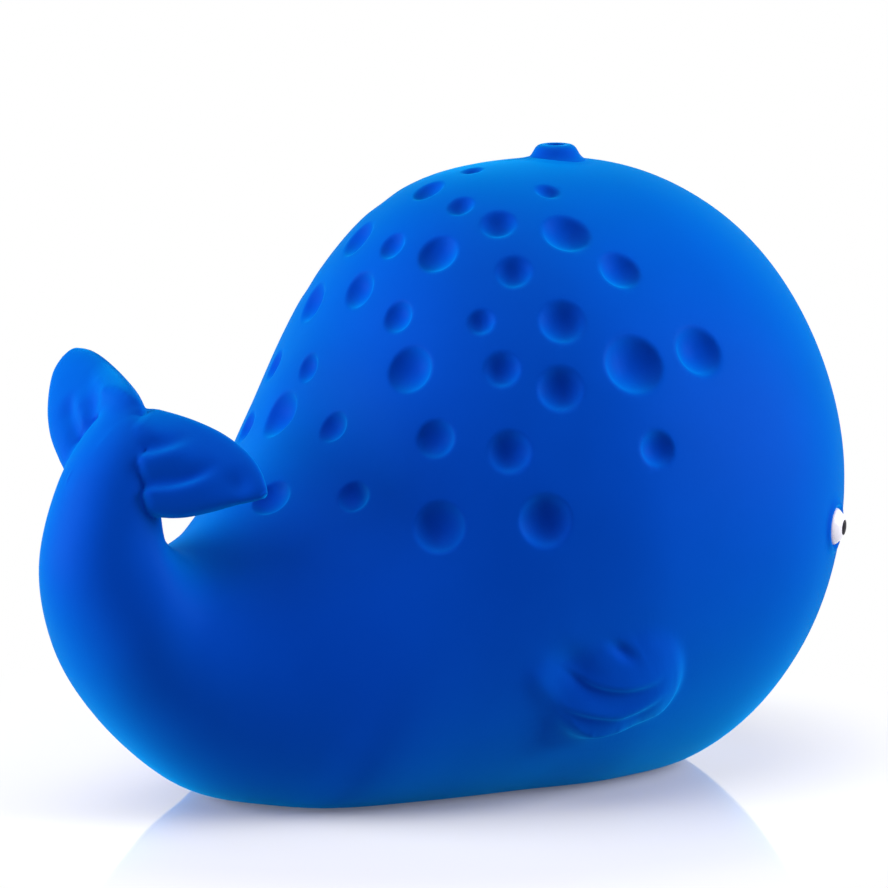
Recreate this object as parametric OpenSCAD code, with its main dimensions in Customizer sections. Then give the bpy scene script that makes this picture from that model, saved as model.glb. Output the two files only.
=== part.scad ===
// Squeaky bath toy: a hollow rubber whale with a squeaker plugged into its belly.
// Millimetres. +X is the head, +Y the whale's left and +Z up. The belly stands on z = 0.

/* [Body] */
// Length from the brow to the back of the tail
body_l = 108; // [90:1:126]
// Width across the flanks
body_w = 75; // [64:1:90]
// Height of the crown above the belly
body_h = 76; // [66:1:90]
// Thickness of the rubber
wall = 2.8; // [2:0.1:3.4]

/* [Dimples] */
// Diameter of the largest dimple
dimple_d = 7; // [5:0.5:8]
// Depth of the largest dimple
dimple_depth = 1.3; // [0.6:0.1:1.5]

/* [Tail flukes] */
// Reach of one fluke from the notch to its tip
fluke_span = 19.4; // [15:0.2:23]
// Depth of a fluke from its trailing edge to its leading edge
fluke_chord = 12.5; // [10:0.5:15]
// Thickness of a fluke at its root
fluke_t = 4.6; // [3.4:0.2:6]
// Distance of the notch past the end of the tail
fluke_reach = 1.5; // [0.5:0.1:2.5]
// Climb of the tail's end, in degrees above level
fluke_pitch = 51; // [42:1:60]
// Roll of the flukes about the tail, in degrees, left side up
fluke_roll = 20; // [0:1:26]
// Turn of the flukes to the whale's right, in degrees
fluke_turn = 9; // [0:1:14]
// Droop of each fluke below the middle, in degrees
fluke_droop = 13; // [0:1:20]

/* [Side fins] */
// Length of a fin along the flank
fin_l = 19.5; // [15:0.5:22]
// Width of a fin
fin_w = 15; // [11:0.5:17]
// How far a fin stands out of the flank
fin_h = 2; // [1.2:0.1:3]
// How deep the fin's root sits under the skin before it is trimmed
fin_root = 1.2; // [0.8:0.1:2]
// Rise of the fin's front end, in degrees
fin_tilt = 0; // [-10:1:10]

/* [Eyes] */
// Diameter of an eye
eye_d = 4.6; // [4:0.2:6]
// How far an eye stands out of the skin
eye_h = 1.2; // [0.9:0.1:1.6]
// Depth of an eye's socket
eye_socket = 1.2; // [0.8:0.1:1.6]
// Diameter of a pupil
pupil_d = 1.8; // [1.4:0.1:2.4]
// Depth of the pupil's seat in the eye
pupil_seat = 0.5; // [0.3:0.05:0.7]

/* [Blowhole] */
// Diameter of the blowhole's collar at its foot
collar_d = 6.8; // [6:0.2:8]
// Diameter of the blowhole's rim
rim_d = 5; // [4.4:0.2:5.6]
// Height of the collar above the crown
collar_h = 1.9; // [1.4:0.1:2.6]
// Diameter of the air hole
air_d = 2.8; // [2:0.2:3.2]
// Diameter of the stem in the crown
stem_d = 5.4; // [4.8:0.2:5.8]

/* [Squeaker] */
// Diameter of the squeaker's barrel
cup_d = 16; // [14:0.5:19]
// Height of the squeaker's top above the ground
cup_h = 13; // [12:0.5:16]
// Wall of the barrel
cup_wall = 1.2; // [1:0.1:1.5]
// Thickness of the floor of the cup
floor_t = 1.8; // [1.4:0.1:2.2]
// Width of the flange past the barrel
flange_lip = 2; // [1.4:0.1:2.6]
// Thickness of the flange
flange_t = 1.2; // [0.9:0.1:1.4]
// Depth of the flange's face above the ground
flange_inset = 0.2; // [0.1:0.05:0.4]
// Width of the bead that grips the rubber from inside
bead_lip = 1; // [0.6:0.1:1.3]
// Height of the bead
bead_t = 1.2; // [0.8:0.1:1.6]
// Rise of the rubber seat above the inside of the belly
seat_rise = 1.8; // [1.2:0.1:2.4]
// Width of the rubber seat past the flange
seat_lip = 3; // [2:0.2:4]
// Diameter of the outlet in the floor of the cup
outlet_d = 5; // [4:0.2:6]
// Thickness of the perforated cap
cap_t = 1.6; // [1.2:0.1:2]
// Width of the ledge under the cap
cap_ledge = 0.5; // [0.3:0.05:0.6]
// Diameter of a hole in the cap
cap_hole_d = 1.6; // [1.2:0.1:2]

/* [Reed] */
// Thickness of the reed block's foot
foot_t = 2.2; // [1.6:0.1:2.8]
// Diameter of the reed block's post
post_d = 6.4; // [5.6:0.2:7.2]
// Width of the air channel in the post
channel_w = 1.8; // [1.4:0.1:2.2]
// Depth of the air channel in the post
channel_depth = 1.4; // [1:0.1:1.8]
// Width of the reed
reed_w = 3.6; // [3:0.1:4.4]
// Thickness of the reed
reed_t = 0.3; // [0.2:0.05:0.4]
// Thickness of the clip that keeps the reed's root
clip_t = 1.2; // [0.8:0.1:1.6]
// Height of the clip
clip_h = 1.6; // [1.2:0.1:2]

/* [Fits] */
// Gap round pieces that are pushed into a seat
seat_gap = 0.05; // [0.02:0.01:0.1]
// Gap between the reed and its clip
reed_gap = 0.3; // [0.2:0.05:0.4]
// Gap between the reed and the post
reed_seal = 0.05; // [0.02:0.01:0.1]
// Room over the post, under the cap
post_room = 1.4; // [1:0.1:1.8]

/* [Hidden] */
$fn = 48;
rubber_blue = [0.01, 0.36, 0.78];
eye_white = [0.93, 0.92, 0.95];
pupil_black = [0.06, 0.05, 0.08];
squeaker_white = [0.88, 0.88, 0.86];
reed_clear = [0.75, 0.82, 0.86];

// Stations of the body from the brow to the tail's tip, as shares of its length, height and half width:
// top x, top z, bottom x, bottom z, half width, and how much wider the section is below than above.
station_shares = [
    [ 0.495, 0.475,  0.495,  0.475, 0,     0],
    [ 0.485, 0.655,  0.49,   0.305, 0.45,  0.05],
    [ 0.435, 0.845,  0.425,  0.16,  0.735, 0.1],
    [ 0.35,  0.95,   0.36,   0.04,  0.92,  0.12],
    [ 0.23,  1,      0.28,  -0.035, 1,     0.12],
    [ 0.065, 0.99,   0.15,  -0.065, 0.99,  0.12],
    [-0.035, 0.9,    0.03,  -0.06,  0.895, 0.14],
    [-0.105, 0.74,  -0.085, -0.055, 0.78,  0.14],
    [-0.15,  0.61,  -0.2,   -0.04,  0.675, 0.12],
    [-0.215, 0.515, -0.26,  -0.01,  0.545, 0.08],
    [-0.27,  0.455, -0.335,  0.04,  0.43,  0.04],
    [-0.33,  0.425, -0.415,  0.14,  0.345, 0],
    [-0.37,  0.465, -0.47,   0.255, 0.295, 0],
    [-0.37,  0.52,  -0.495,  0.41,  0.225, 0],
    [-0.375, 0.58,  -0.465,  0.555, 0.175, 0],
    [-0.38,  0.65,  -0.38,   0.65,  0,     0]];
last = len(station_shares) - 1;

// Seams of the body, as shares of its height and length
belly_seam_share = 0.58;
crown_seam_share = 0.82;
tail_root_share = -0.28;
belly_seam = belly_seam_share * body_h;
crown_seam = crown_seam_share * body_h;
tail_root = tail_root_share * body_l;
// Station where the air space ends inside the tail
cavity_end = 12;
rings_per_station = 2;
skin_sides = 40;
cavity_sides = 28;
slope_step = 0.01;
slope_angle = 0.5;
overrun = 1;

// Dimples on both flanks: station, degrees from the top, share of the largest
flank_dimple_shares = [
    [5.3, 23, 0.6], [4.7, 19, 0.4], [4.85, 32, 0.8], [5.5, 35, 0.6], [4.65, 43, 0.7],
    [6.05, 39, 0.45], [5.35, 49, 0.75], [6.1, 50, 0.6], [5.65, 60, 0.75], [4.9, 61, 1],
    [4.35, 61, 0.85], [6.35, 64, 0.7], [4.95, 76, 0.6], [7.35, 65, 0.85], [6.2, 80, 0.85],
    [8.3, 38, 0.55]];
// Dimples along the back, where the two sides differ: right side below zero degrees
back_dimple_shares = [
    [5.35, 2, 0.55], [4.9, 0, 0.35], [5.4, -12, 0.45], [5.95, -18, 0.7], [6.6, -18, 0.55],
    [6.85, -30, 0.8], [7, -48, 0.65], [7.95, -13, 0.55], [9.15, -11, 0.7], [7.9, 18, 0.85],
    [7.35, 11, 0.5], [6.95, 37, 0.55], [6.55, 24, 0.7], [6.55, 1, 0.65], [6, 15, 0.7],
    [6.1, -3, 0.5], [7.6, 42, 0.55]];

// Places on the skin: station and degrees from the top
eye_station = 2.755;
eye_angle = -100.2;
fin_station = 5.62;
fin_angle = -118;
blowhole_station = 4.2;

// Outline of a fluke: shares of its span and chord, then of its root thickness
fluke_shares = [
    [0, -1, 0, 1], [0.2, -0.94, 0.1, 0.98], [0.4, -0.84, 0.18, 0.86], [0.6, -0.68, 0.23, 0.7],
    [0.76, -0.5, 0.23, 0.54], [0.89, -0.29, 0.2, 0.38], [0.97, -0.11, 0.14, 0.24]];
fluke_tip_share = 0.06;
// Outline of a fin from its rear tip: shares of its length and width, then of its height
fin_shares = [
    [0.05, 0.11, 0.36, 0.35], [0.15, -0.13, 0.42, 0.6], [0.3, -0.38, 0.44, 0.85], [0.45, -0.5, 0.48, 1],
    [0.6, -0.5, 0.5, 1], [0.75, -0.44, 0.48, 0.95], [0.88, -0.35, 0.3, 0.8], [0.96, -0.22, 0.17, 0.5]];
fin_heel_share = 0.27;
fin_tip_share = -0.02;
// Height of the three ribs of a fluke or fin, as a share of its thickness
rib_share = 0.16;
rib_count = 3;
leaf_sides = 24;

// Squeaker levels and radii
squeaker_share = 0.04;
squeaker_x = squeaker_share * body_l;
flange_top = flange_inset + flange_t;
flange_r = cup_d / 2 + flange_lip;
seat_top = wall + seat_rise;
floor_top = flange_inset + floor_t;
cup_bore_r = cup_d / 2 - cup_wall;
cap_r = cup_bore_r + cap_ledge;
cap_bottom = cup_h - cap_t;
foot_top = floor_top + foot_t;
post_top = cap_bottom - post_room;
cap_hole_count = 6;
cap_ring_share = 0.55;
cap_ring_r = cap_ring_share * cap_r;

// Smooth curve through four stations
function spline(a, b, c, d, t) =
    (2 * b + (c - a) * t + (2 * a - 5 * b + 4 * c - d) * t * t + (3 * b - a - 3 * c + d) * t * t * t) / 2;
function unit(v) = v / norm(v);
function sized(r) =
    [r[0] * body_l, r[1] * body_h, r[2] * body_l, r[3] * body_h, r[4] * body_w / 2, r[5]];
// Past either end the body is taken to turn over on itself, which rounds the brow and the tail's tip
function turned(r) = [r[2], r[3], r[0], r[1], -r[4], r[5]];
function station(k) =
    k < 0 ? turned(sized(station_shares[-k])) :
    k > last ? turned(sized(station_shares[2 * last - k])) : sized(station_shares[k]);
function section(u) =
    let (k = min(floor(u), last - 1))
    spline(station(k - 1), station(k), station(k + 1), station(k + 2), u - k);

// Point of the skin at a station, a degrees from the top towards the whale's left
function skin(u, a) =
    let (s = section(u), c = cos(a))
    [(s[0] + s[2] + (s[0] - s[2]) * c) / 2,
     s[4] * sin(a) * (1 - s[5] * c),
     (s[1] + s[3] + (s[1] - s[3]) * c) / 2];
function along(u, a) = (skin(u + slope_step, a) - skin(u - slope_step, a)) / (2 * slope_step);
function around(u, a) = (skin(u, a + slope_angle) - skin(u, a - slope_angle)) / (2 * slope_angle);
function outward(u, a) = unit(cross(around(u, a), along(u, a)));
function lining(u, a) = skin(u, a) - wall * outward(u, a);
function ring(u, sides) = [for (i = [0 : sides - 1]) skin(u, 360 * i / sides)];
function lining_ring(u, sides) = [for (i = [0 : sides - 1]) lining(u, 360 * i / sides)];

// Matrix that stands a shape's z axis on the skin
function on_skin(u, a) =
    let (n = outward(u, a), p = skin(u, a), f = unit([1, 0, 0] - n * n[0]), g = cross(n, f))
    [[f[0], g[0], n[0], p[0]], [f[1], g[1], n[1], p[1]], [f[2], g[2], n[2], p[2]], [0, 0, 0, 1]];

// Closed solid through a list of rings, from a first point to a last one
module lofted(rings, first, final) {
    m = len(rings[0]);
    n = len(rings);
    end = 1 + n * m;
    points = concat([first], [for (r = rings) each r], [final]);
    nose = [for (j = [0 : m - 1]) [0, 1 + j, 1 + (j + 1) % m]];
    side = [for (i = [0 : n - 2], j = [0 : m - 1])
        let (a = 1 + i * m + j, b = 1 + i * m + (j + 1) % m)
        each [[a, a + m, b + m], [a, b + m, b]]];
    tip = [for (j = [0 : m - 1]) [end, end - m + (j + 1) % m, end - m + j]];
    polyhedron(points, concat(nose, side, tip));
}

module body_form() {
    count = last * rings_per_station;
    lofted([for (i = [1 : count - 1]) ring(i / rings_per_station, skin_sides)], skin(0, 0), skin(last, 0));
}

module air_space() {
    count = cavity_end * rings_per_station;
    brow = skin(0, 0) - [wall, 0, 0];
    back = (lining(cavity_end, 0) + lining(cavity_end, 180)) / 2;
    difference() {
        intersection() {
            lofted([for (i = [1 : count]) lining_ring(i / rings_per_station, cavity_sides)], brow, back);
            slab(-body_l, body_l, wall, body_h);
        }
        translate([squeaker_x, 0, 0]) cylinder(h = seat_top, r = flange_r + seat_lip);
    }
}

// Block between two lengthwise places and two heights, wider than the body
module slab(x0, x1, z0, z1) {
    translate([x0, -body_w, z0]) cube([x1 - x0, 2 * body_w, z1 - z0]);
}

// Part of the hollow body between two heights, in front of the tail, with its dimples pressed in
module body_band(z0, z1) {
    difference() {
        intersection() {
            difference() {
                body_form();
                air_space();
            }
            slab(tail_root, body_l, z0, z1);
        }
        dimples(z0 - dimple_d, z1 + dimple_d);
    }
}

module dimples(z0, z1) {
    for (d = flank_dimple_shares, side = [-1, 1]) dimple(d[0], side * d[1], d[2], z0, z1);
    for (d = back_dimple_shares) dimple(d[0], d[1], d[2], z0, z1);
}

module dimple(u, a, share, z0, z1) {
    depth = dimple_depth * share;
    r = dimple_d * share / 2;
    ball_r = (r * r + depth * depth) / (2 * depth);
    centre = skin(u, a) + (ball_r - depth) * outward(u, a);
    if (skin(u, a)[2] > z0 && skin(u, a)[2] < z1) translate(centre) sphere(r = ball_r);
}

module belly_shell() {
    color(rubber_blue) difference() {
        body_band(0, belly_seam);
        translate([squeaker_x, 0, -overrun]) cylinder(h = seat_top + 2 * overrun, r = cup_d / 2 + seat_gap);
        translate([squeaker_x, 0, -overrun]) cylinder(h = flange_top + overrun, r = flange_r + seat_gap);
        eye_place() eye_socket_cut();
        mirror([0, 1, 0]) eye_place() eye_socket_cut();
    }
}

module flank_wall() {
    color(rubber_blue) body_band(belly_seam, crown_seam);
}

module crown_shell() {
    color(rubber_blue) difference() {
        body_band(crown_seam, body_h + collar_h);
        blowhole_place() {
            translate([0, 0, -2 * wall]) cylinder(h = 2 * wall + collar_h, d = stem_d + 2 * seat_gap);
            cylinder(h = collar_h, d = collar_d + 2 * seat_gap);
        }
    }
}

module tail() {
    color(rubber_blue) intersection() {
        difference() {
            body_form();
            air_space();
        }
        slab(-body_l, tail_root, 0, body_h);
    }
}

// Leaf with three ribs: rows give the place along it, its two edges and its thickness
function leaf_point(row, a) =
    let (c = cos(a), rib = 1 + rib_share * cos(180 * rib_count * c))
    [row[0], (row[1] + row[2] + (row[2] - row[1]) * c) / 2, row[3] * sin(a) * rib];
function leaf_ring(row) = [for (i = [0 : leaf_sides - 1]) leaf_point(row, 360 * i / leaf_sides)];
function leaf_rows(shares, l, w, h) = [for (s = shares) [s[0] * l, s[1] * w, s[2] * w, s[3] * h]];

// Directions of the tail's end: along it, to its left, and out of its upper face
tail_climb = [cos(fluke_pitch), 0, sin(fluke_pitch)];
tail_face = [-sin(fluke_pitch), 0, cos(fluke_pitch)];
rolled_left = [0, 1, 0] * cos(fluke_roll) + tail_face * sin(fluke_roll);
rolled_face = tail_face * cos(fluke_roll) - [0, 1, 0] * sin(fluke_roll);
fluke_fore = tail_climb * cos(fluke_turn) - rolled_left * sin(fluke_turn);
fluke_side = rolled_left * cos(fluke_turn) + tail_climb * sin(fluke_turn);
notch = skin(last, 0) + fluke_reach * fluke_fore;

// Matrix with the span along x and the chord along y, for one side of the notch
function fluke_frame(side, droop) =
    let (x = side * fluke_side * cos(droop) - rolled_face * sin(droop), y = fluke_fore, z = cross(x, y))
    [[x[0], y[0], z[0], notch[0]], [x[1], y[1], z[1], notch[1]], [x[2], y[2], z[2], notch[2]], [0, 0, 0, 1]];

module fluke(side) {
    rows = leaf_rows(fluke_shares, fluke_span, fluke_chord, fluke_t / 2);
    root = [0, -fluke_chord / 2, 0];
    color(rubber_blue) difference() {
        intersection() {
            multmatrix(fluke_frame(side, fluke_droop))
                lofted([for (r = rows) leaf_ring(r)], root, [fluke_span, fluke_tip_share * fluke_chord, 0]);
            multmatrix(fluke_frame(side, 0))
                translate([0, -fluke_span, -fluke_span]) cube([2 * fluke_span, 2 * fluke_span, 2 * fluke_span]);
        }
        body_form();
    }
}

module fluke_left() {
    fluke(1);
}

module fluke_right() {
    fluke(-1);
}

// Point of a fin: x forward along the fin, y up across it and z out of the skin
function fin_point(p) =
    let (x = (p[0] - fin_l / 2) * cos(fin_tilt) - p[1] * sin(fin_tilt),
         y = (p[0] - fin_l / 2) * sin(fin_tilt) + p[1] * cos(fin_tilt),
         u = fin_station - x / norm(along(fin_station, fin_angle)),
         a = fin_angle + y / norm(around(fin_station, fin_angle)))
    skin(u, a) + (p[2] > 0 ? p[2] : p[2] * fin_root / fin_h) * outward(u, a);

// Right fin before the flank is cut out of it
module fin_form() {
    rows = leaf_rows(fin_shares, fin_l, fin_w, fin_h);
    lofted([for (r = rows) [for (p = leaf_ring(r)) fin_point(p)]],
           fin_point([0, fin_heel_share * fin_w, 0]), fin_point([fin_l, fin_tip_share * fin_w, 0]));
}

module fin_right() {
    color(rubber_blue) difference() {
        fin_form();
        body_form();
    }
}

module fin_left() {
    color(rubber_blue) difference() {
        mirror([0, 1, 0]) fin_form();
        body_form();
    }
}

module eye_place() {
    multmatrix(on_skin(eye_station, eye_angle)) children();
}

module eye_socket_cut() {
    translate([0, 0, -eye_socket]) cylinder(h = eye_socket + eye_h, d = eye_d + 2 * seat_gap);
}

// Round dome on a short shank, before the pupil's seat is cut
module eye_form(grow) {
    ball_r = (eye_d * eye_d / 4 + eye_h * eye_h) / (2 * eye_h);
    translate([0, 0, -eye_socket]) cylinder(h = eye_socket, d = eye_d);
    intersection() {
        cylinder(h = eye_h + grow, d = eye_d);
        translate([0, 0, eye_h - ball_r]) sphere(r = ball_r + grow);
    }
}

module eye_right() {
    color(eye_white) eye_place() difference() {
        eye_form(0);
        translate([0, 0, eye_h - pupil_seat]) cylinder(h = pupil_seat + overrun, d = pupil_d + 2 * seat_gap);
    }
}

module eye_left() {
    mirror([0, 1, 0]) eye_right();
}

module pupil_right() {
    color(pupil_black) eye_place() intersection() {
        eye_form(seat_gap);
        translate([0, 0, eye_h - pupil_seat]) cylinder(h = pupil_seat + overrun, d = pupil_d);
    }
}

module pupil_left() {
    mirror([0, 1, 0]) pupil_right();
}

module blowhole_place() {
    top = skin(blowhole_station, 0);
    foot_sag = collar_d * collar_d / (2 * body_w);
    translate(top - [0, 0, foot_sag]) children();
}

module blowhole_ring() {
    edge = (rim_d - air_d) / 4;
    color(rubber_blue) blowhole_place() rotate_extrude()
        difference() {
            union() {
                polygon([[0, 0], [collar_d / 2, 0], [rim_d / 2, collar_h - edge], [0, collar_h - edge]]);
                translate([0, collar_h - edge]) square([rim_d / 2 - edge, edge]);
                translate([rim_d / 2 - edge, collar_h - edge]) circle(r = edge);
                translate([0, -wall]) square([stem_d / 2, wall]);
            }
            translate([-overrun, -2 * wall]) square([overrun + air_d / 2, 4 * wall + collar_h]);
        }
}

module squeaker_cup() {
    bead_z = seat_top + seat_gap;
    color(squeaker_white) translate([squeaker_x, 0, 0]) difference() {
        union() {
            translate([0, 0, flange_inset]) cylinder(h = cup_h - flange_inset, d = cup_d);
            translate([0, 0, flange_inset]) cylinder(h = flange_t, r = flange_r);
            translate([0, 0, bead_z]) cylinder(h = bead_t, r = cup_d / 2 + bead_lip);
        }
        translate([0, 0, floor_top]) cylinder(h = cup_h, r = cup_bore_r);
        translate([0, 0, cap_bottom]) cylinder(h = cup_h, r = cap_r);
        translate([0, 0, -overrun]) cylinder(h = floor_top + 2 * overrun, d = outlet_d);
    }
}

module reed_block() {
    color(squeaker_white) translate([squeaker_x, 0, floor_top]) difference() {
        union() {
            cylinder(h = foot_t, r = cup_bore_r - seat_gap);
            intersection() {
                cylinder(h = post_top - floor_top, d = post_d);
                translate([-post_d, -post_d, 0]) cube([post_d, 2 * post_d, post_top - floor_top]);
            }
        }
        translate([-channel_depth, -channel_w / 2, -overrun])
            cube([channel_depth, channel_w, post_top - floor_top - channel_w + overrun]);
    }
}

module reed() {
    color(reed_clear) translate([squeaker_x + reed_seal, -reed_w / 2, foot_top + reed_seal])
        cube([reed_t, reed_w, post_top - foot_top - reed_seal]);
}

module reed_clip() {
    color(squeaker_white) translate([squeaker_x + reed_seal + reed_t + reed_gap, -post_d / 2, foot_top])
        cube([clip_t, post_d, clip_h]);
}

module squeaker_cap() {
    color(squeaker_white) translate([squeaker_x, 0, cap_bottom]) difference() {
        cylinder(h = cap_t, r = cap_r - seat_gap);
        translate([0, 0, -overrun]) cylinder(h = cap_t + 2 * overrun, d = cap_hole_d);
        for (i = [0 : cap_hole_count - 1])
            rotate(360 * i / cap_hole_count)
                translate([cap_ring_r, 0, -overrun]) cylinder(h = cap_t + 2 * overrun, d = cap_hole_d);
    }
}

belly_shell();
flank_wall();
crown_shell();
tail();
fluke_left();
fluke_right();
fin_left();
fin_right();
blowhole_ring();
eye_left();
eye_right();
pupil_left();
pupil_right();
squeaker_cup();
reed_block();
reed();
reed_clip();
squeaker_cap();
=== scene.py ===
from math import acos, atan2, cos, exp, pi, radians, sin, sqrt

import bmesh
import bpy
from mathutils import Matrix, Vector
from mathutils.bvhtree import BVHTree
from mathutils.kdtree import KDTree


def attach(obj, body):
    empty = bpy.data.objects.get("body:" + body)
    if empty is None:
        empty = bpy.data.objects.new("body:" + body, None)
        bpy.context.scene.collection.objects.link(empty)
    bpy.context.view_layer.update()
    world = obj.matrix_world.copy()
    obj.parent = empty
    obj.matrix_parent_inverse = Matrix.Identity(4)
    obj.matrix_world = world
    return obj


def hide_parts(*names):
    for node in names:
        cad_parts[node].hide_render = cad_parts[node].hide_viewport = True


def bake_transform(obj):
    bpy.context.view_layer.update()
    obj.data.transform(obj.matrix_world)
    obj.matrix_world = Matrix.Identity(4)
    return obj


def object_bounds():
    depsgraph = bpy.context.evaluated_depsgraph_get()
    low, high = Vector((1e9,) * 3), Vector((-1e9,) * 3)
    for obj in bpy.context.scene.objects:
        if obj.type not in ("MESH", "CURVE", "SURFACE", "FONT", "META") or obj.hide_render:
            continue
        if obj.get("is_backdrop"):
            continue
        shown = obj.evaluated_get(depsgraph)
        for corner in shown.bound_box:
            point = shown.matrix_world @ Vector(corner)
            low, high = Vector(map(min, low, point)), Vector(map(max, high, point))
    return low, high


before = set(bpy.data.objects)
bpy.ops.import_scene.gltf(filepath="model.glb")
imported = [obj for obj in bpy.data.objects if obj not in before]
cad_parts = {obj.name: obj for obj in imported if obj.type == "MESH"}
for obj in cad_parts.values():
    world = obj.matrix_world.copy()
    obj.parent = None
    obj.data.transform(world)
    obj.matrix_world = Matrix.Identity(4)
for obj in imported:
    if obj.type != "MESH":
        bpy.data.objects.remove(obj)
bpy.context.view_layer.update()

# Whale skin: the body, tail, flukes and side fins, one hollow moulding of royal blue natural rubber.
# It is cast in a mould that has the dimples and the fins' ribs in it, so everything flows together.
# Only the seats of the squeaker and of the spout are open. Its shape is worked out in millimetres.
BODY_L, BODY_W, BODY_H = 108, 75, 76
# Stations from the brow to the tail's tip, as shares of the body: top x and z, bottom x and z,
# half width, and how much wider the section is below than above
body_stations = [
    (0.495, 0.475, 0.495, 0.475, 0, 0), (0.485, 0.655, 0.49, 0.305, 0.45, 0.05),
    (0.435, 0.845, 0.425, 0.16, 0.735, 0.1), (0.35, 0.95, 0.36, 0.04, 0.92, 0.12),
    (0.23, 1, 0.28, -0.035, 1, 0.12), (0.065, 0.99, 0.15, -0.065, 0.99, 0.12),
    (-0.035, 0.9, 0.03, -0.06, 0.895, 0.14), (-0.105, 0.74, -0.085, -0.055, 0.78, 0.14),
    (-0.15, 0.61, -0.2, -0.04, 0.675, 0.12), (-0.215, 0.515, -0.26, -0.01, 0.545, 0.08),
    (-0.27, 0.455, -0.335, 0.04, 0.43, 0.04), (-0.33, 0.425, -0.415, 0.14, 0.345, 0),
    (-0.37, 0.465, -0.47, 0.255, 0.295, 0), (-0.37, 0.52, -0.498, 0.404, 0.223, 0),
    (-0.372, 0.575, -0.47, 0.556, 0.175, 0), (-0.368, 0.625, -0.419, 0.65, 0.13, 0),
    (-0.392, 0.66, -0.392, 0.66, 0, 0)]
LAST_STATION = len(body_stations) - 1
RINGS_PER_STATION, RING_VERTS = 14, 160
BASE_ROUNDING = 0.8


def body_row(k):
    # Past either end the body is taken to turn over on itself, which rounds the brow and the tail's tip
    turned = k < 0 or k > LAST_STATION
    share = body_stations[-k if k < 0 else 2 * LAST_STATION - k if k > LAST_STATION else k]
    sizes = (BODY_L, BODY_H, BODY_L, BODY_H, BODY_W / 2, 1)
    top_x, top_z, low_x, low_z, half, pear = (s * size for s, size in zip(share, sizes))
    return (low_x, low_z, top_x, top_z, -half, pear) if turned else (top_x, top_z, low_x, low_z, half, pear)


def smooth_rows(a, b, c, d, t):
    # The smooth run through four rows of values, t of the way from the second to the third
    return [(2 * q + (r - p) * t + (2 * p - 5 * q + 4 * r - s) * t * t + (3 * q - p - 3 * r + s) * t ** 3) / 2
            for p, q, r, s in zip(a, b, c, d)]


def body_section(u):
    k = min(int(u), LAST_STATION - 1)
    return smooth_rows(body_row(k - 1), body_row(k), body_row(k + 1), body_row(k + 2), u - k)


def on_section(section, angle):
    top_x, top_z, low_x, low_z, half, pear = section
    c = cos(angle)
    return Vector(((top_x + low_x + (top_x - low_x) * c) / 2,
                   half * sin(angle) * (1 - pear * c),
                   (top_z + low_z + (top_z - low_z) * c) / 2))


def skin_point(u, degrees):
    return on_section(body_section(u), radians(degrees))


def skin_out(u, degrees):
    # Direction out of the body at a station and an angle
    along = skin_point(u + 0.01, degrees) - skin_point(u - 0.01, degrees)
    around = skin_point(u, degrees + 0.5) - skin_point(u, degrees - 0.5)
    return around.cross(along).normalized()


def polar(co):
    # Share of the way from a round form's first pole to its last, and the angle round it
    return acos(max(-1, min(1, co.z))) / pi, atan2(co.y, co.x)


moulding = bmesh.new()
rings = LAST_STATION * RINGS_PER_STATION
bmesh.ops.create_uvsphere(moulding, u_segments=RING_VERTS, v_segments=rings, radius=1)
sections = [body_section(i / RINGS_PER_STATION) for i in range(rings + 1)]
for v in moulding.verts:
    way, angle = polar(v.co)
    v.co = on_section(sections[round(way * rings)], angle)
    # The belly is pressed flat at the ground, with a soft turn up from it
    v.co.z = (v.co.z + sqrt(v.co.z ** 2 + BASE_ROUNDING)) / 2


def ease(x, start, end):
    # Soft step from 0 at the start to 1 at the end
    x = max(0, min(1, (x - start) / (end - start)))
    return x * x * (3 - 2 * x)


def line_gap(p, points):
    # Distance from a line of points, the side of it (above is positive) and the share of the way along it
    best = (1e9, 1, 0)
    for i, (a, b) in enumerate(zip(points, points[1:])):
        d = b - a
        t = max(0, min(1, (p - a).dot(d) / d.length_squared))
        gap = (p - a - t * d).length
        if gap < best[0]:
            best = (gap, 1 if d.x * (p - a).y - d.y * (p - a).x > 0 else -1, (i + t) / (len(points) - 1))
    return best


def rounded_line(points, closed=False, steps=5):
    # A smooth line through the points, as closely set points
    points = [Vector(p) for p in points]
    n = len(points)
    line = []
    for i in range(n if closed else n - 1):
        ends = [points[j % n] if closed else points[max(0, min(n - 1, j))] for j in range(i - 1, i + 3)]
        line += [Vector(smooth_rows(*ends, s / steps)) for s in range(steps)]
    return line + [line[0] if closed else points[-1]]


# The flukes stand across the tail's end, rolled and turned a little, each drooping from the notch.
# Each row is its distance out from the notch, its leading and trailing edge, and its thickness;
# the left fluke is 1 and the right one -1
fluke_rows = {
    1: [(-4, -13.2, -5, 3.6), (-2, -13.2, -2.8, 4.4), (0, -13.2, -0.5, 4.8), (3, -12.6, 0.7, 5.4),
        (6.2, -11.4, 1.4, 5.4), (9.5, -10, 1.9, 4.8), (12.5, -8.2, 2.2, 4), (15, -6.2, 2.2, 3.3),
        (17, -4.2, 1.8, 2.6), (18.1, -2.7, 1.3, 1.9), (18.8, -0.8, 0, 0.6), (19, 0.6, -1.2, 0)],
    -1: [(-4, -13.2, -5, 3.6), (-2, -13.2, -2.8, 4.4), (0, -13.2, -0.5, 4.8), (3, -13, 0.8, 5.6),
         (6.5, -12, 1.9, 5.6), (10, -10.4, 2.6, 4.8), (13, -8.4, 2.7, 4), (15.5, -5.8, 2.4, 3.2),
         (17.5, -3.4, 1.7, 2.4), (19, -1.8, 0.8, 1.6), (19.9, -0.6, 0, 0.4), (20.1, 0.6, -1.2, 0)]}
TAIL_CLIMB, FLUKE_ROLL, FLUKE_TURN, FLUKE_DROOP = radians(51), radians(20), radians(9), radians(13)
NOTCH_REACH = 1.5
whale_left = Vector((0, 1, 0))
climb = Vector((cos(TAIL_CLIMB), 0, sin(TAIL_CLIMB)))
tail_face = Vector((-climb.z, 0, climb.x))
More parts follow.
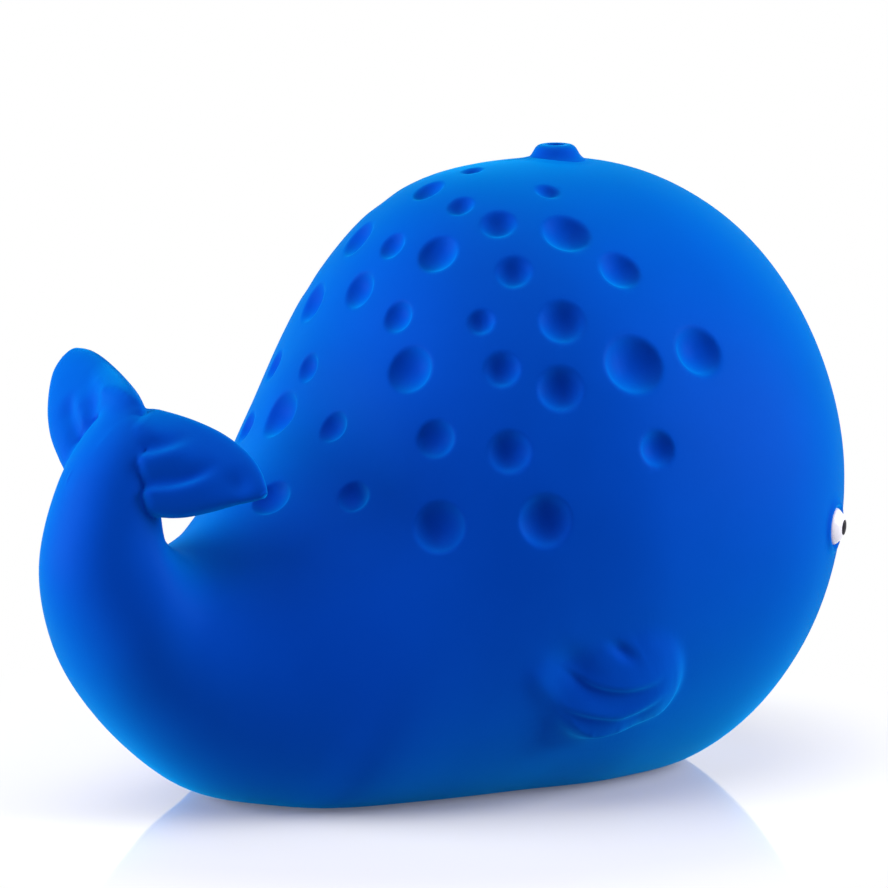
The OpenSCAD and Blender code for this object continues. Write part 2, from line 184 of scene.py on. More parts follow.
rolled_left = whale_left * cos(FLUKE_ROLL) + tail_face * sin(FLUKE_ROLL)
rolled_face = tail_face * cos(FLUKE_ROLL) - whale_left * sin(FLUKE_ROLL)
fore = climb * cos(FLUKE_TURN) - rolled_left * sin(FLUKE_TURN)
sideways = rolled_left * cos(FLUKE_TURN) + climb * sin(FLUKE_TURN)
notch = Vector((-0.38 * BODY_L, 0, 0.65 * BODY_H)) + NOTCH_REACH * fore
fluke_out = {side: side * sideways * cos(FLUKE_DROOP) - rolled_face * sin(FLUKE_DROOP) for side in (1, -1)}
# Towards the whale's right and rear: the roll brings the right fluke's root out on this side of the stalk
right_hand = Vector((-0.565, -0.807, 0.174))

# Two grooves part each fluke into three lobes; distance out and fore from the notch.
# Each lobe overlaps the next along the groove between them, by a height that dies away over a distance
fluke_grooves = {
    1: [[(2.8, -7.2), (2.8, -5.4), (3.8, -4.3), (5.1, -3), (7.2, -1.8)],
        [(3.4, -8.2), (6, -6.9), (8.4, -5.7), (10.6, -4.2)]],
    -1: [[(3.2, -6.3), (5.6, -4.3), (7.2, -2.3), (8.6, -0.1)],
         [(6.6, -9.1), (10, -6.4), (12, -4), (13.7, -0.8)]]}
GROOVE_DEPTH, GROOVE_WIDTH = 1.1, 0.55
lobe_overlaps = {1: (0.5, 1.6), -1: (0.9, 2)}
LIP_SOFTNESS = 0.3
LEAF_SIDES, LEAF_RINGS = 80, 90
LEAF_FULLNESS, LEAST_HALF, ROOT_THICKNESS = 0.65, 0.5, 0.3
# The right root's line runs up the stalk, and below a bend in it the line slants outwards
RIGHT_ROOT, ROOT_SLANT, ROOT_BEND = 1.1, 1.22, -3.4
# How far the roots lean to the side that right_hand points to, and the distance out at which that ends
RIGHT_LEAN, LEFT_LEAN, LEFT_INNER_LEAN, LEAN_END = 2.4, -1.4, 4, 16
# A shallow dent near the right fluke's tip
DENT_OUT, DENT_FORE, DENT_DEPTH, DENT_SPREAD = 16.6, -1.3, 0.5, 2.5

skin = bpy.data.objects.new("whale_skin", bpy.data.meshes.new("whale_skin"))
bpy.context.collection.objects.link(skin)
moulding.to_mesh(skin.data)
true_body = BVHTree.FromBMesh(moulding)
moulding.free()
leaves = []
for side in (1, -1):
    out = fluke_out[side]
    thick = out.cross(fore)
    rows, lobes = fluke_rows[side], [rounded_line(groove) for groove in fluke_grooves[side]]
    overlap, overlap_reach = lobe_overlaps[side]
    leaf = bmesh.new()
    bmesh.ops.create_uvsphere(leaf, u_segments=LEAF_SIDES, v_segments=LEAF_RINGS, radius=1)
    for v in leaf.verts:
        way, angle = polar(v.co)
        place = 1 + way * (len(rows) - 3)
        k = min(int(place), len(rows) - 3)
        span, lead, trail, t = smooth_rows(*rows[k - 1:k + 3], place - k)
        chord = (lead + trail + (trail - lead) * cos(angle)) / 2
        p = Vector((span, chord))
        # The leaf thickens from a thin root, on the left within the stalk and on the right upon it
        right_root = RIGHT_ROOT + ROOT_SLANT * max(0, ROOT_BEND - chord)
        grown = ease(span, -1.5, 1.5) if side > 0 else ease(span, right_root - 0.9, right_root + 0.8)
        half = t / 2 * (ROOT_THICKNESS + (1 - ROOT_THICKNESS) * grown)
        crown = abs(sin(angle)) ** LEAF_FULLNESS * (1 if angle > 0 else -1)
        press = 0
        for groove in lobes:
            gap, turn, along = line_gap(p, groove)
            lip = side * turn * gap / sqrt(gap * gap + LIP_SOFTNESS)
            ledge = overlap * exp(-gap / overlap_reach)
            press += (GROOVE_DEPTH * exp(-gap / GROOVE_WIDTH) - ledge * lip) * ease(along, 1, 0.6)
        if side < 0:
            press += DENT_DEPTH * exp(-((span - DENT_OUT) ** 2 + (chord - DENT_FORE) ** 2) / DENT_SPREAD)
        v.co = notch + span * out + chord * fore + (half - min(press, half - LEAST_HALF)) * crown * thick
        # The right root leans out of the stalk; of the left one, only the lobe next to the notch does
        near_root = ease(span, LEAN_END, 0)
        lean = RIGHT_LEAN * ease(chord, 1, -3) * near_root
        if side > 0:
            gap, turn, _ = line_gap(p, lobes[0])
            inner = ease(gap * turn, -1, 1.4) * ease(chord, -6.5, -2.5) * ease(span, 11, 2)
            lean = LEFT_INNER_LEAN * inner + LEFT_LEAN * near_root
        v.co += lean * right_hand
    bmesh.ops.recalc_face_normals(leaf, faces=leaf.faces)
    leaves.append(bpy.data.objects.new("fluke leaf", bpy.data.meshes.new("fluke leaf")))
    bpy.context.collection.objects.link(leaves[-1])
    leaf.to_mesh(leaves[-1].data)
    leaf.free()
    join = skin.modifiers.new("fluke joined on", "BOOLEAN")
    join.operation, join.solver, join.object = "UNION", "EXACT", leaves[-1]
moulding = bmesh.new()
moulding.from_object(skin, bpy.context.evaluated_depsgraph_get())
skin.modifiers.clear()
for leaf in leaves:
    bpy.data.objects.remove(leaf)

# Dimples: station, degrees from the top, share of the largest; the flanks have them on both sides
DIMPLE_D, DIMPLE_DEPTH = 7.5, 2
BOWL_REACH, BOWL_FULLNESS, RIM_SOFTNESS = 1.6, 0.85, 0.01
flank_dimples = [
    (5.3, 23, 0.6), (4.7, 19, 0.4), (4.85, 32, 0.8), (5.5, 35, 0.6), (4.65, 43, 0.7), (6.05, 39, 0.45),
    (5.35, 49, 0.75), (6.1, 50, 0.6), (5.65, 60, 0.75), (4.9, 61, 1), (4.35, 61, 0.85), (6.35, 64, 0.7),
    (4.95, 76, 0.6), (7.35, 65, 0.85), (6.2, 80, 0.85), (8.3, 38, 0.55)]
back_dimples = [
    (5.35, 2, 0.55), (4.9, 0, 0.35), (5.4, -12, 0.45), (5.95, -18, 0.7), (6.6, -18, 0.55), (6.85, -30, 0.8),
    (7, -48, 0.65), (7.95, -13, 0.55), (9.15, -11, 0.7), (7.9, 18, 0.85), (7.35, 11, 0.5), (6.95, 37, 0.55),
    (6.55, 24, 0.7), (6.55, 1, 0.65), (6, 15, 0.7), (6.1, -3, 0.5), (7.6, 42, 0.55)]
dimples = [(u, s * a, d) for u, a, d in flank_dimples for s in (1, -1)] + back_dimples
FIN_STATION, FIN_ANGLE, FIN_RISE = 5.62, -118, 3.4
SQUEAKER = Vector((0.04 * BODY_L, 0, 0))
SPOUT = skin_point(4.2, 0)
EYE_STATION, EYE_ANGLE, EYE_D, EYE_H, PUPIL_D = 2.755, -100.2, 4.6, 1.2, 1.9

# The mesh is made finer, twice, where the mould has relief or a seat; what is added lies on the true body
fins = [Vector((1, s, 1)) * skin_point(FIN_STATION, FIN_ANGLE) for s in (1, -1)]
eyes = [Vector((1, s, 1)) * skin_point(EYE_STATION, EYE_ANGLE) for s in (1, -1)]


def relief_zones(dimple_share, margin, fin_reach, eye_reach):
    zones = [(skin_point(u, a), dimple_share * DIMPLE_D * d + margin) for u, a, d in dimples]
    return zones + [(c, fin_reach) for c in fins] + [(c, eye_reach) for c in eyes]


fine_zones = relief_zones(dimple_share=0.55, margin=1.2, fin_reach=12.5, eye_reach=4)
fine_zones += [(SQUEAKER, 12), (SPOUT, 6)]
finer_zones = relief_zones(dimple_share=0.54, margin=0.4, fin_reach=11, eye_reach=3.5)
for zones in (fine_zones, finer_zones):
    moulding.faces.ensure_lookup_table()
    near_faces = KDTree(len(moulding.faces))
    for f in moulding.faces:
        near_faces.insert(f.calc_center_median(), f.index)
    near_faces.balance()
    chosen = {i for centre, radius in zones for _, i, _ in near_faces.find_range(centre, radius)}
    edges = list({e for i in chosen for e in moulding.faces[i].edges})
    added = bmesh.ops.subdivide_edges(moulding, edges=edges, cuts=1, use_grid_fill=True)["geom_inner"]
    for v in added:
        if isinstance(v, bmesh.types.BMVert):
            v.co = true_body.find_nearest(v.co)[0]


def relax(verts, times):
    for _ in range(times):
        bmesh.ops.smooth_vert(moulding, verts=verts, factor=0.5,
                              use_axis_x=True, use_axis_y=True, use_axis_z=True)


# The flukes' roots are eased into the stalk, in a wide band along the crease and then a narrow one
CREASE_FOLD, CREASE_REACH, EASED_REACH = -0.35, 14, 16
root = notch - 5 * fore
crease = [e for e in moulding.edges
          if e.calc_face_angle_signed(0) < CREASE_FOLD and (e.verts[0].co - root).length < CREASE_REACH]
near_crease = KDTree(len(crease))
for i, e in enumerate(crease):
    near_crease.insert((e.verts[0].co + e.verts[1].co) / 2, i)
near_crease.balance()
for reach, times in ((1.6, 4), (0.8, 4)):
    relax([v for v in moulding.verts
           if (v.co - root).length < EASED_REACH and near_crease.find(v.co)[2] < reach], times)
# The left one's lobe next to the notch runs on into the stalk's top without a crease: the skin inside its
# groove is relaxed many times, less and less far from the middle of the root
MELT_REACH, MELT_STEPS = 6, 40
left_root = notch + fluke_out[1] - 3 * fore + 3 * right_hand
inner_groove = rounded_line(fluke_grooves[1][0])
melted = []
for v in moulding.verts:
    away = v.co - left_root
    if away.length < MELT_REACH and v.normal.dot(right_hand) > 0.1:
        p = Vector(((v.co - notch).dot(fluke_out[1]), (v.co - notch).dot(fore)))
        gap, turn, _ = line_gap(p, inner_groove)
        if p.x > -2 and p.y < -0.8 and gap * turn > 0.4:
            melted.append((v, away.length))
for step in range(MELT_STEPS):
    relax([v for v, gap in melted if gap < MELT_REACH - 0.1 * step], 3)

# The mould's relief: every dimple, fin, rib and rim moves the skin it lies on in or out
moulding.verts.ensure_lookup_table()
moulding.normal_update()
near_skin = KDTree(len(moulding.verts))
for v in moulding.verts:
    near_skin.insert(v.co, v.index)
near_skin.balance()


def skin_within(centre, radius):
    return [moulding.verts[i] for _, i, _ in near_skin.find_range(centre, radius)]


# Dimples: round bowls with a crisp rim
for u, degrees, share in dimples:
    centre, out = skin_point(u, degrees), skin_out(u, degrees)
    radius = DIMPLE_D * share / 2
    for v in skin_within(centre, BOWL_REACH * radius):
        away = v.co - centre
        bowl = 1 - (away - away.dot(out) * out).length_squared / radius ** 2
        v.co -= DIMPLE_DEPTH * share * ((bowl + sqrt(bowl ** 2 + RIM_SOFTNESS)) / 2) ** BOWL_FULLNESS * out

# Side fins: outline and grooves in millimetres forward and up from the fin's middle.
# Each hollow is its middle, its reach along and across, and its depth; it slants down to the front
fin_outline = [
    (4.0, 8.7), (7.3, 6.8), (9.0, 3.6), (9.4, -0.2), (7.8, -3.7), (4.3, -5.4), (1.3, -6.5), (-1.9, -6.9),
    (-4.9, -5.4), (-7.6, -2.2), (-9.8, 1.0), (-9.3, 2.3), (-7.9, 4.1), (-4.8, 5.5), (-1.8, 7.3), (1.4, 8.4)]
fin_grooves = [
    [(-7.4, 3.1), (-5.4, 2), (-2.7, 0.9), (0.1, 0.7), (2.3, 1), (4.8, 1.9), (6.2, 3.2)],
    [(-7.4, -1.4), (-4.9, -2.6), (0.3, -3), (2.7, -2.3), (5, -0.9), (6.7, 0.7)]]
fin_hollows = [(-5, 2.6, 3, 2.2, 0.7), (0.2, 5.4, 1.5, 0.8, 0.5)]
HOLLOW_SLANT = 0.4
FIN_REACH, FIN_FULLNESS, FIN_LEAST_SHARE = 14, 0.85, 0.1
EDGE_ROUNDING, EDGE_TIGHTENING, REAR_SOFTENING, REAR_RIM = 4.5, 2.7, 0.4, 0.6
RIB_STEP, RIB_STEP_REACH, RIB_SOFTNESS = 0.5, 2.2, 0.1
FIN_EASINGS, EDGE_EASINGS = 50, 10
outline = rounded_line(fin_outline, closed=True)
grooves = [rounded_line(g) for g in fin_grooves]


def swell(x, middle, width):
    # Bell curve, 1 at its middle
    return exp(-((x - middle) / width) ** 2)


for side in (-1, 1):
    centre, out = skin_point(FIN_STATION, FIN_ANGLE), skin_out(FIN_STATION, FIN_ANGLE)
    forward = (Vector((1, 0, 0)) - out * out.x).normalized()
    up = out.cross(forward)
    for axis in (centre, out, forward, up):
        axis.y *= -side
    rises, places = {}, {}
    for v in skin_within(centre, FIN_REACH):
        p = Vector(((v.co - centre).dot(forward), (v.co - centre).dot(up)))
        gap, turn, _ = line_gap(p, outline)
        inside = -gap * turn
        # It melts into the flank above and behind, is tightly rounded below, and is soft at the lower rear
        melt = ease(0.9 * p.y - 0.45 * p.x, -2, 7)
        low = ease(-p.y - 0.3 * p.x, 1, 6)
        soft = ease(-0.7 * p.x - 0.7 * p.y, 3, 8)
        edge = max(0, min(1, inside / (EDGE_ROUNDING - EDGE_TIGHTENING * low) + 0.03))
        crisp = (1 - (1 - edge) ** 2) ** FIN_FULLNESS
        crisp += REAR_SOFTENING * soft * (ease(inside, -0.4, 3) - crisp)
        # The face leans, so that the lower front edge stands out furthest
        stand = FIN_RISE * max(FIN_LEAST_SHARE, (8 - p.y + 0.6 * p.x) / 16)
        rises[v] = stand * ((1 - melt) * crisp + melt * ease(inside, -0.3, 4.7))
        places[v] = p, inside, soft
    # The face is smoothed further than the edge is
    beside = {v: [e.other_vert(v) for e in v.link_edges]
              for v, (_, inside, _) in places.items() if inside > -1.5}
    for step in range(FIN_EASINGS):
        eased = {v: (rises[v] + sum(rises.get(other, 0) for other in others) / len(others)) / 2
                 for v, others in beside.items() if step < EDGE_EASINGS or places[v][1] > 1.5}
        rises.update(eased)
    for v, rise in rises.items():
        p, inside, soft = places[v]
        rise += REAR_RIM * soft * swell(inside, 0.6, 1.8)
        # The ribs lie over one another like feathers, with a narrow step down at each groove
        for groove in grooves:
            gap, turn, along = line_gap(p, groove)
            fade = ease(along, 0, 1 / 3) * ease(along, 1, 0.6) * ease(inside, 0, 1.2)
            above = gap * turn
            rise += RIB_STEP * fade * above / sqrt(gap * gap + RIB_SOFTNESS) * exp(-gap / RIB_STEP_REACH)
        for x, y, reach_x, reach_y, depth in fin_hollows:
            rise -= depth * swell(p.x, x, reach_x) * swell(p.y + HOLLOW_SLANT * (p.x - x), y, reach_y)
        v.co += rise * v.normal

# The skin has a low lip round each eye, with a fine groove at the eye's rim, and swells up to the spout
EYE_LIP, EYE_GROOVE, EYE_REACH = 0.35, 0.5, 4.5
for centre in eyes:
    for v in skin_within(centre, EYE_REACH):
        past_rim = (v.co - centre).length - EYE_D / 2
        v.co += (EYE_LIP * swell(past_rim, 0.55, 0.5) - EYE_GROOVE * swell(past_rim, 0, 0.25)) * v.normal
SPOUT_SWELL, SPOUT_REACH = 0.2, 6
for v in skin_within(SPOUT, SPOUT_REACH):
    v.co += SPOUT_SWELL * ease((v.co - SPOUT).length, 5, 3.2) ** 2 * v.normal


# Seats: a round hole is opened in the skin, its edge is drawn in, and the pocket is closed inside.
# A pocket is a list of radius and height
def open_seat(middle, side_of_skin, radius, pocket):
    inside = [f for f in moulding.faces if side_of_skin(f.calc_center_median())
              and (f.calc_center_median().xy - middle).length < radius]
    bmesh.ops.delete(moulding, geom=inside, context="FACES")
    edge = [e for e in moulding.edges if e.is_boundary]
    for v in {v for e in edge for v in e.verts}:
        v.co.xy = middle + (v.co.xy - middle).normalized() * radius
    for r, z in pocket:
        edge_verts = bmesh.ops.extrude_edge_only(moulding, edges=edge)["geom"]
        for e in edge:
            e.smooth = False
        edge = [g for g in edge_verts if isinstance(g, bmesh.types.BMEdge)
                and all(v in edge_verts for v in g.verts)]
        for v in [g for g in edge_verts if isinstance(g, bmesh.types.BMVert)]:
            v.co.xy = middle + (v.co.xy - middle).normalized() * r
            v.co.z = z
    bmesh.ops.edgeloop_fill(moulding, edges=edge)


SQUEAKER_SEAT, SPOUT_SEAT = 10.05, 2.75
squeaker_pocket = [(SQUEAKER_SEAT, 1.42), (8.05, 1.42), (8.05, 4.6), (9.6, 4.6), (9.6, 13.6)]
open_seat(SQUEAKER.xy, lambda p: p.z < 0.5, SQUEAKER_SEAT, squeaker_pocket)
open_seat(SPOUT.xy, lambda p: p.z > 70, SPOUT_SEAT, [(SPOUT_SEAT, 72.6)])
bmesh.ops.recalc_face_normals(moulding, faces=moulding.faces)


def finish_mesh(piece, form):
    # From millimetres to metres, shaded smooth
    bmesh.ops.scale(form, vec=(0.001, 0.001, 0.001), verts=form.verts)
    for face in form.faces:
        face.smooth = True
    form.to_mesh(piece.data)
    form.free()


finish_mesh(skin, moulding)


# Mottle: the faint patches and fine grain that a mould leaves on rubber and plastic alike
def new_mottle():
    group = bpy.data.node_groups.new("Moulded mottle", "ShaderNodeTree")
    for name, value in (("Patch size", 60.0), ("Grain size", 2600.0)):
        socket = group.interface.new_socket(name, in_out="INPUT", socket_type="NodeSocketFloat")
        socket.default_value = value
    for name in ("Patch", "Grain"):
        group.interface.new_socket(name, in_out="OUTPUT", socket_type="NodeSocketFloat")
    inputs, outputs = group.nodes.new("NodeGroupInput"), group.nodes.new("NodeGroupOutput")
    place = group.nodes.new("ShaderNodeTexCoord")
    for name, detail in (("Patch", 4.0), ("Grain", 2.0)):
        noise = group.nodes.new("ShaderNodeTexNoise")
        noise.inputs["Detail"].default_value = detail
        group.links.new(place.outputs["Object"], noise.inputs["Vector"])
        group.links.new(inputs.outputs[name + " size"], noise.inputs["Scale"])
        group.links.new(noise.outputs["Fac"], outputs.inputs[name])
    return group


mottle = new_mottle()


def moulded_material(name, dark, light, roughness, patch_size, grain_size, grain_height):
    # A moulded finish: colour drifts between two shades in patches, and fine grain breaks up the gloss
    material = bpy.data.materials.new(name)
    material.use_nodes = True
    nodes, links = material.node_tree.nodes, material.node_tree.links
    shader = nodes["Principled BSDF"]
    grain = nodes.new("ShaderNodeGroup")
    grain.node_tree = mottle
    grain.inputs["Patch size"].default_value = patch_size
    grain.inputs["Grain size"].default_value = grain_size
    colour = nodes.new("ShaderNodeValToRGB")
    colour.color_ramp.elements[0].position, colour.color_ramp.elements[1].position = 0.35, 0.65
    colour.color_ramp.elements[0].color, colour.color_ramp.elements[1].color = (*dark, 1), (*light, 1)
    links.new(grain.outputs["Patch"], colour.inputs["Fac"])
    links.new(colour.outputs["Color"], shader.inputs["Base Color"])
    gloss = nodes.new("ShaderNodeMapRange")
    gloss.inputs["To Min"].default_value, gloss.inputs["To Max"].default_value = roughness
    links.new(grain.outputs["Patch"], gloss.inputs["Value"])
    links.new(gloss.outputs["Result"], shader.inputs["Roughness"])
    bump = nodes.new("ShaderNodeBump")
    bump.inputs["Strength"].default_value = 0.5
    bump.inputs["Distance"].default_value = grain_height
    links.new(grain.outputs["Grain"], bump.inputs["Height"])
    links.new(bump.outputs["Normal"], shader.inputs["Normal"])
    return material, shader


rubber, shader = moulded_material("royal blue rubber", (0.0003, 0.0265, 0.42), (0.0005, 0.0305, 0.45),
                                  roughness=(0.48, 0.6), patch_size=70, grain_size=3000, grain_height=0.00002)
shader.inputs["Specular IOR Level"].default_value = 0.01
shader.inputs["Sheen Weight"].default_value = 0.8
shader.inputs["Sheen Roughness"].default_value = 0.6
shader.inputs["Sheen Tint"].default_value = (0, 0.48, 1, 1)
skin.data.materials.append(rubber)
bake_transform(skin)
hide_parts("belly_shell", "flank_wall", "crown_shell", "tail",
            "fluke_left", "fluke_right", "fin_left", "fin_right")

# Spout: the blowhole's rubber collar, a small flared chimney with a rounded rim round the air hole.
# It is moulded in the same rubber, and its stem is pushed into the crown.
SPOUT_SINK = 0.31
SPOUT_FOOT = SPOUT - Vector((0, 0, SPOUT_SINK))
spout_profile = [
    (1.0, -2.8), (1.0, 1.78), (1.06, 1.94), (1.2, 2.03), (1.45, 2.07), (1.75, 2.06), (2.05, 2), (2.32, 1.86),
    (2.54, 1.65), (2.72, 1.38), (2.88, 1.08), (3.06, 0.78), (3.3, 0.5), (3.6, 0.26), (3.9, 0.06), (3.9, -0.7),
    (2.7, -0.7), (2.7, -2.8)]


def turned(profile, steps=72):
    # A closed profile of radius and height, turned once round the z axis
    form = bmesh.new()
    verts = [form.verts.new((r, 0, z)) for r, z in profile]
    edges = [form.edges.new(pair) for pair in zip(verts, verts[1:] + verts[:1])]
    bmesh.ops.spin(form, geom=verts + edges, cent=(0, 0, 0), axis=(0, 0, 1), angle=2 * pi, steps=steps,
                   use_merge=True)
    bmesh.ops.remove_doubles(form, verts=form.verts, dist=0.0001)
    bmesh.ops.recalc_face_normals(form, faces=form.faces)
    return form


def new_piece(name, material, body, node):
    piece = bpy.data.objects.new(name, bpy.data.meshes.new(name))
    bpy.context.collection.objects.link(piece)
    piece.data.materials.append(material)
    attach(piece, body)
    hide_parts(node)
    return piece


form = turned(spout_profile)
bmesh.ops.translate(form, vec=SPOUT_FOOT, verts=form.verts)
finish_mesh(new_piece("spout", rubber, "crown", "blowhole_ring"), form)

# Eyes: round white buttons on the flanks, with a glossy painted dome and a short shank in the skin.
# The pupil is a drop of black paint on the top of the dome.
EYE_BALL = (EYE_D ** 2 / 4 + EYE_H ** 2) / (2 * EYE_H)
EYE_SHANK, PUPIL_SINK, PAINT_T = 1.2, 0.5, 0.05
white_paint, shader = moulded_material("eye white", (0.70, 0.68, 0.78), (0.76, 0.74, 0.82),
                                       roughness=(0.18, 0.26), patch_size=300, grain_size=2000,
                                       grain_height=0.000004)
shader.inputs["Coat Weight"].default_value = 0.3
black_paint, shader = moulded_material("pupil black", (0.006, 0.005, 0.010), (0.011, 0.010, 0.016),
                                       roughness=(0.3, 0.4), patch_size=500, grain_size=2000,
                                       grain_height=0.000003)
shader.inputs["Specular IOR Level"].default_value = 0.04


def cap(ball, middle, reach, steps):
    # Round cap of a ball about the z axis, from its rim to its top
    radii = [reach * (1 - i / steps) for i in range(steps + 1)]
    return [(r, middle + sqrt(ball ** 2 - r ** 2)) for r in radii]


for side, name in ((1, "left"), (-1, "right")):
    centre, out = skin_point(EYE_STATION, EYE_ANGLE), skin_out(EYE_STATION, EYE_ANGLE)
    centre.y *= -side
    out.y *= -side
    forward = (Vector((1, 0, 0)) - out * out.x).normalized()
    seat = Matrix.Translation(centre) @ Matrix((forward, out.cross(forward), out)).transposed().to_4x4()
    dome = cap(EYE_BALL, EYE_H - EYE_BALL, EYE_D / 2, 16)
    drop = cap(EYE_BALL + PAINT_T, EYE_H - EYE_BALL, PUPIL_D / 2, 8)
    for kind, profile, material in (
            ("eye", [(0, -EYE_SHANK), (EYE_D / 2, -EYE_SHANK)] + dome, white_paint),
            ("pupil", [(0, EYE_H - PUPIL_SINK), (PUPIL_D / 2, EYE_H - PUPIL_SINK)] + drop, black_paint)):
        form = turned(profile, steps=56)
        bmesh.ops.transform(form, matrix=seat, verts=form.verts)
        finish_mesh(new_piece(f"{kind}_on_{name}", material, "belly", f"{kind}_{name}"), form)

# Squeaker cup: the hard white plug in the belly, moulded in polypropylene with softened edges.
# Its flange lies in the belly's recess and its bead snaps in behind the rubber seat.
cup_profile = [
    (2.5, 0.2), (10, 0.2), (10, 1.4), (8, 1.4), (8, 4.65), (9, 4.65), (9, 5.85), (8, 5.85), (8, 13),
    (7.3, 13), (7.3, 11.4), (6.8, 11.4), (6.8, 2), (2.5, 2)]
CUP_SOFTENING = 0.22
white_plastic, _ = moulded_material("squeaker plastic", (0.70, 0.70, 0.67), (0.76, 0.76, 0.73),
                                    roughness=(0.38, 0.5), patch_size=250, grain_size=2200,
                                    grain_height=0.00001)
form = turned(cup_profile, steps=96)
corners = [e for e in form.edges if e.calc_face_angle(0) > radians(60)]
bmesh.ops.bevel(form, geom=corners, offset=CUP_SOFTENING, offset_type="OFFSET", affect="EDGES", segments=3,
                profile=0.5, material=-1)
bmesh.ops.translate(form, vec=(SQUEAKER.x, 0, 0), verts=form.verts)
finish_mesh(new_piece("squeaker_plug", white_plastic, "belly", "squeaker_cup"), form)

# Squeaker works: the reed's block, clip and perforated cap, all clipped into the cup in the same plastic,
# and the reed, a strip of milky film that flutters against the block. The construction's shapes are kept.
film, _ = moulded_material("reed film", (0.52, 0.60, 0.66), (0.58, 0.66, 0.72),
                           roughness=(0.2, 0.3), patch_size=400, grain_size=1500, grain_height=0.000004)
for node, material in (("reed_block", white_plastic), ("reed_clip", white_plastic),
                       ("squeaker_cap", white_plastic), ("reed", film)):
    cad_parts[node].data.materials.clear()
    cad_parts[node].data.materials.append(material)

# Studio: a white glossy table under soft light from the left, the right and above, as in the photograph.
# The table turns plain white away from the whale, and its reflection fades with the distance from it.
TABLE_REACH = 8
REFLECTION, REFLECTION_FADES, REFLECTION_ENDS = 0.8, 0.05, 0.088
WHITE_STARTS, WHITE_FULL = 0.056, 0.08
TABLE_BOUNCE, TABLE_SEEN, TABLE_GLOW = 0.38, 0.88, 0.1
floor_form = bmesh.new()
bmesh.ops.create_grid(floor_form, x_segments=1, y_segments=1, size=TABLE_REACH)
floor = bpy.data.objects.new("table", bpy.data.meshes.new("table"))
bpy.context.collection.objects.link(floor)
floor_form.to_mesh(floor.data)
floor_form.free()


def seen_rays(tree):
    # 1 for what the camera sees, straight or in a reflection, and 0 for the light that falls on things
    rays = tree.nodes.new("ShaderNodeLightPath")
    seen = tree.nodes.new("ShaderNodeMath")
    seen.operation = "MAXIMUM"
    tree.links.new(rays.outputs["Is Camera Ray"], seen.inputs[0])
    tree.links.new(rays.outputs["Is Glossy Ray"], seen.inputs[1])
    return seen


table_white = bpy.data.materials.new("table white")
table_white.use_nodes = True
nodes, links = table_white.node_tree.nodes, table_white.node_tree.links
shader = nodes["Principled BSDF"]
shader.inputs["Roughness"].default_value = 0.06
shader.inputs["Emission Color"].default_value = (1, 1, 1, 1)
shader.inputs["Emission Strength"].default_value = TABLE_GLOW
place = nodes.new("ShaderNodeTexCoord")
away = nodes.new("ShaderNodeVectorMath")
away.operation = "LENGTH"
links.new(place.outputs["Object"], away.inputs[0])
shine = nodes.new("ShaderNodeMapRange")
shine.interpolation_type = "SMOOTHSTEP"
shine.inputs["From Min"].default_value = REFLECTION_FADES
shine.inputs["From Max"].default_value = REFLECTION_ENDS
shine.inputs["To Min"].default_value, shine.inputs["To Max"].default_value = REFLECTION, 0
links.new(away.outputs["Value"], shine.inputs["Value"])
links.new(shine.outputs["Result"], shader.inputs["Specular IOR Level"])
plain = nodes.new("ShaderNodeEmission")
seen = seen_rays(table_white.node_tree)
tone = nodes.new("ShaderNodeMix")
tone.data_type = "RGBA"
tone.inputs["A"].default_value = (TABLE_BOUNCE, TABLE_BOUNCE, TABLE_BOUNCE, 1)
tone.inputs["B"].default_value = (TABLE_SEEN, TABLE_SEEN, TABLE_SEEN, 1)
links.new(seen.outputs["Value"], tone.inputs["Factor"])
links.new(tone.outputs["Result"], shader.inputs["Base Color"])
far = nodes.new("ShaderNodeMapRange")
far.interpolation_type = "SMOOTHSTEP"
far.inputs["From Min"].default_value, far.inputs["From Max"].default_value = WHITE_STARTS, WHITE_FULL
links.new(away.outputs["Value"], far.inputs["Value"])
share = nodes.new("ShaderNodeMath")
share.operation = "MULTIPLY"
links.new(seen.outputs["Value"], share.inputs[0])
links.new(far.outputs["Result"], share.inputs[1])
mix = nodes.new("ShaderNodeMixShader")
links.new(share.outputs["Value"], mix.inputs["Fac"])
links.new(shader.outputs["BSDF"], mix.inputs[1])
links.new(plain.outputs["Emission"], mix.inputs[2])
links.new(mix.outputs["Shader"], nodes["Material Output"].inputs["Surface"])
floor.data.materials.append(table_white)
floor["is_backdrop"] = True

# The room is white to look at, but gives little light
ROOM_LIGHT, ROOM_SEEN = 0.05, 1
world = bpy.data.worlds.new("studio")
bpy.context.scene.world = world
world.use_nodes = True
nodes, links = world.node_tree.nodes, world.node_tree.links
seen = seen_rays(world.node_tree)
level = nodes.new("ShaderNodeMapRange")
level.inputs["To Min"].default_value, level.inputs["To Max"].default_value = ROOM_LIGHT, ROOM_SEEN
links.new(seen.outputs["Value"], level.inputs["Value"])
links.new(level.outputs["Result"], nodes["Background"].inputs["Strength"])
nodes["Background"].inputs["Color"].default_value = (1, 1, 1, 1)

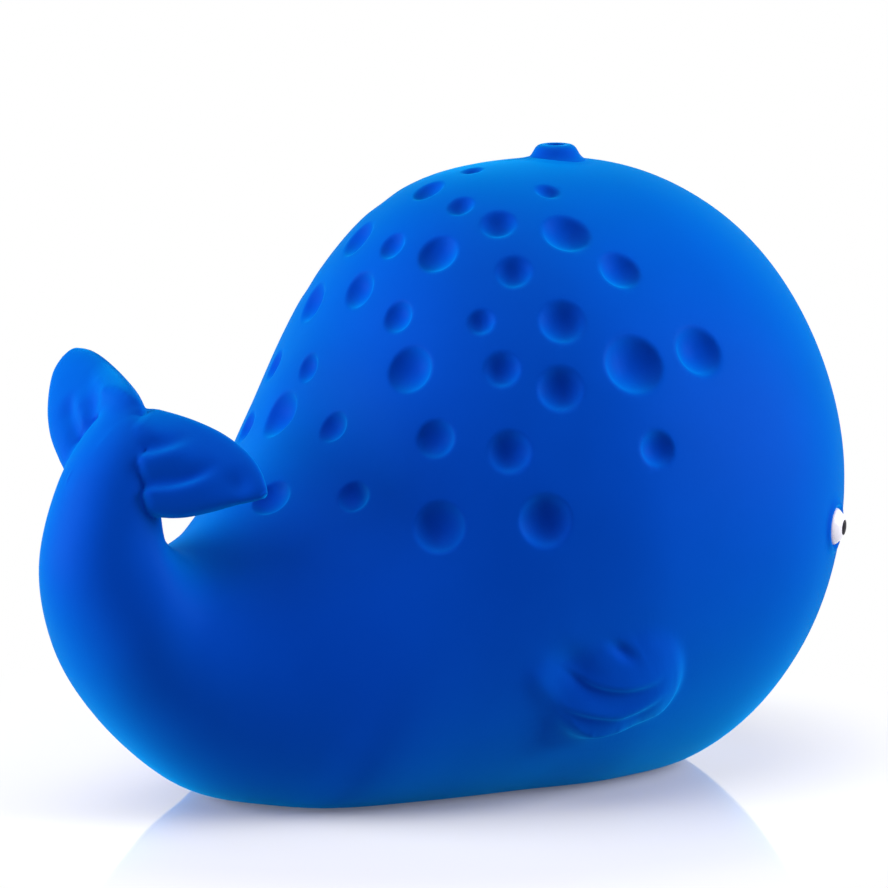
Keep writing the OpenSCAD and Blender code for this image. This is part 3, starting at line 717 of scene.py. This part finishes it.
# The photograph's view, from the whale's right rear. The softboxes stand at the sides of it, so that the
# middle of the flank stays dark and its edges are bright
AZIMUTH, ELEVATION = radians(-35), radians(10)
back = Vector((sin(AZIMUTH) * cos(ELEVATION), -cos(AZIMUTH) * cos(ELEVATION), sin(ELEVATION)))
level_back = Vector((back.x, back.y, 0)).normalized()
right = Vector((cos(AZIMUTH), sin(AZIMUTH), 0))
middle = Vector((-0.0017, 0, 0.038))


def soft_box(name, to_right, to_viewer, height, size, power):
    # A round lamp turned to the whale; its place is measured from the whale's middle
    place = middle + to_right * right + to_viewer * level_back + Vector((0, 0, height))
    lamp = bpy.data.lights.new(name, "AREA")
    lamp.shape, lamp.size, lamp.energy = "DISK", size, power
    box = bpy.data.objects.new(name, lamp)
    box.location = place
    box.rotation_euler = (place - middle).to_track_quat("Z", "Y").to_euler()
    bpy.context.collection.objects.link(box)


soft_box("left softbox", to_right=-0.5, to_viewer=0.04, height=0.03, size=0.4, power=4.7)
soft_box("right softbox", to_right=0.49, to_viewer=0.04, height=0.17, size=0.3, power=3)
sky = bpy.data.lights.new("overhead", "SUN")
sky.energy, sky.angle = 2, radians(65)
overhead = bpy.data.objects.new("overhead", sky)
from_sky = Vector((0, 0, 1)) + 0.22 * level_back - 0.2 * right
overhead.rotation_euler = from_sky.to_track_quat("Z", "Y").to_euler()
bpy.context.collection.objects.link(overhead)

# The picture is 111 mm wide at the whale, whose middle lies a little left of and below the picture's
VIEW_REACH, VIEW_WIDTH, SENSOR = 0.8, 0.111, 36
PICTURE, WHALE_ACROSS, WHALE_DOWN = 888, 405, 475
camera = bpy.data.objects.new("camera", bpy.data.cameras.new("camera"))
bpy.context.collection.objects.link(camera)
camera.location = middle + VIEW_REACH * back
camera.rotation_euler = back.to_track_quat("Z", "Y").to_euler()
camera.data.sensor_width, camera.data.lens = SENSOR, SENSOR * VIEW_REACH / VIEW_WIDTH
camera.data.shift_x = (PICTURE / 2 - WHALE_ACROSS) / PICTURE
camera.data.shift_y = (WHALE_DOWN - PICTURE / 2) / PICTURE
bpy.context.scene.camera = camera
bpy.context.scene.view_settings.view_transform = "Standard"

low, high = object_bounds()
